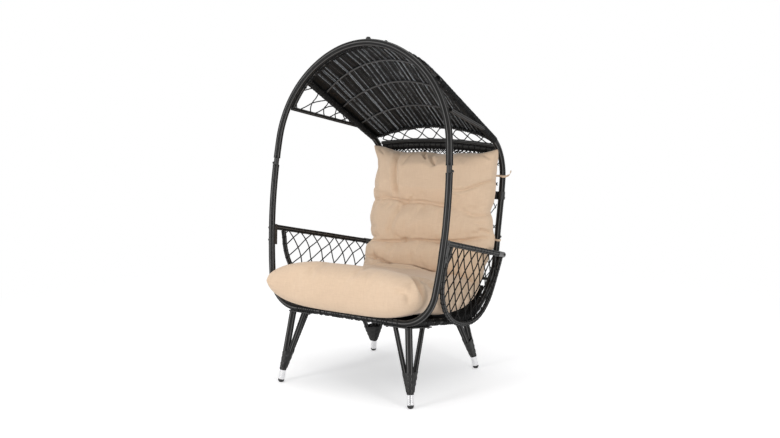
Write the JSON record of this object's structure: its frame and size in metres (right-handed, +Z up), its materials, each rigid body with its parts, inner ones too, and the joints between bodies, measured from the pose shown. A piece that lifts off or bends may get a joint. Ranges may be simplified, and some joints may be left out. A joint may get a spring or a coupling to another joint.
{
  "type": "wicker egg chair",
  "caption": "Free-standing egg-shaped wicker garden chair on splayed legs, with an arched woven canopy, open net sides and one long tufted cushion.",
  "frame": {"origin": "on the ground, under the middle of the chair's bounding box", "axes": "+Z up, -Y the side a person sits down from, +X to the right of an onlooker who faces the front"},
  "size_m": [0.993, 0.9183, 1.6106],
  "materials": {
    "wicker": "dark espresso resin wicker, satin, wound round steel tube",
    "dark_steel": "powder coated, satin",
    "bright_steel": "polished, fine brushing round the tube",
    "black_moulding": "moulded, matt",
    "cushion_fabric": "tan plain-woven outdoor cloth, matt"
  },
  "bodies": {
    "root": {"hoop_lower": "wicker", "hoop_upper": "wicker", "side_tube_left": "wicker", "side_tube_right": "wicker", "canopy_rail_left": "wicker", "canopy_rail_right": "wicker", "seat_rear_rail": "wicker", "seat_deck": "wicker", "canopy_front_arch": "wicker", "canopy_rear_arch": "wicker", "canopy_rear_rail": "wicker", "canopy_bar_left": "wicker", "canopy_bar_right": "wicker", "canopy_weave": "wicker", "canopy_net_left": "wicker", "canopy_net_right": "wicker", "canopy_rear_net": "wicker", "back_top_rail": "wicker", "back_mid_rail": "wicker", "back_bottom_rail": "wicker", "back_net": "wicker", "arm_rail_left": "wicker", "arm_rail_right": "wicker", "side_loop_left": "wicker", "side_loop_right": "wicker", "side_net_left": "wicker", "side_net_right": "wicker", "leg_front_left": "wicker", "leg_front_right": "wicker", "leg_rear_left": "wicker", "leg_rear_right": "wicker", "leg_bindings": "wicker", "hoop_spigots": "dark_steel", "hoop_joint_bolts": "dark_steel", "post_collars": "dark_steel", "post_bolts": "dark_steel", "canopy_ribs": "dark_steel", "canopy_bolts": "dark_steel", "arm_rail_ends": "dark_steel", "arm_brackets": "dark_steel", "arm_bolts": "dark_steel", "leg_bolts": "dark_steel", "ferrule_front_left": "bright_steel", "ferrule_front_right": "bright_steel", "ferrule_rear_left": "bright_steel", "ferrule_rear_right": "bright_steel", "back_clips": "black_moulding", "glide_front_left": "black_moulding", "glide_front_right": "black_moulding", "glide_rear_left": "black_moulding", "glide_rear_right": "black_moulding", "cushion_seat": "cushion_fabric", "cushion_back": "cushion_fabric", "tuft_ties": "cushion_fabric", "cushion_ties": "cushion_fabric"}
  },
  "joints": []
}
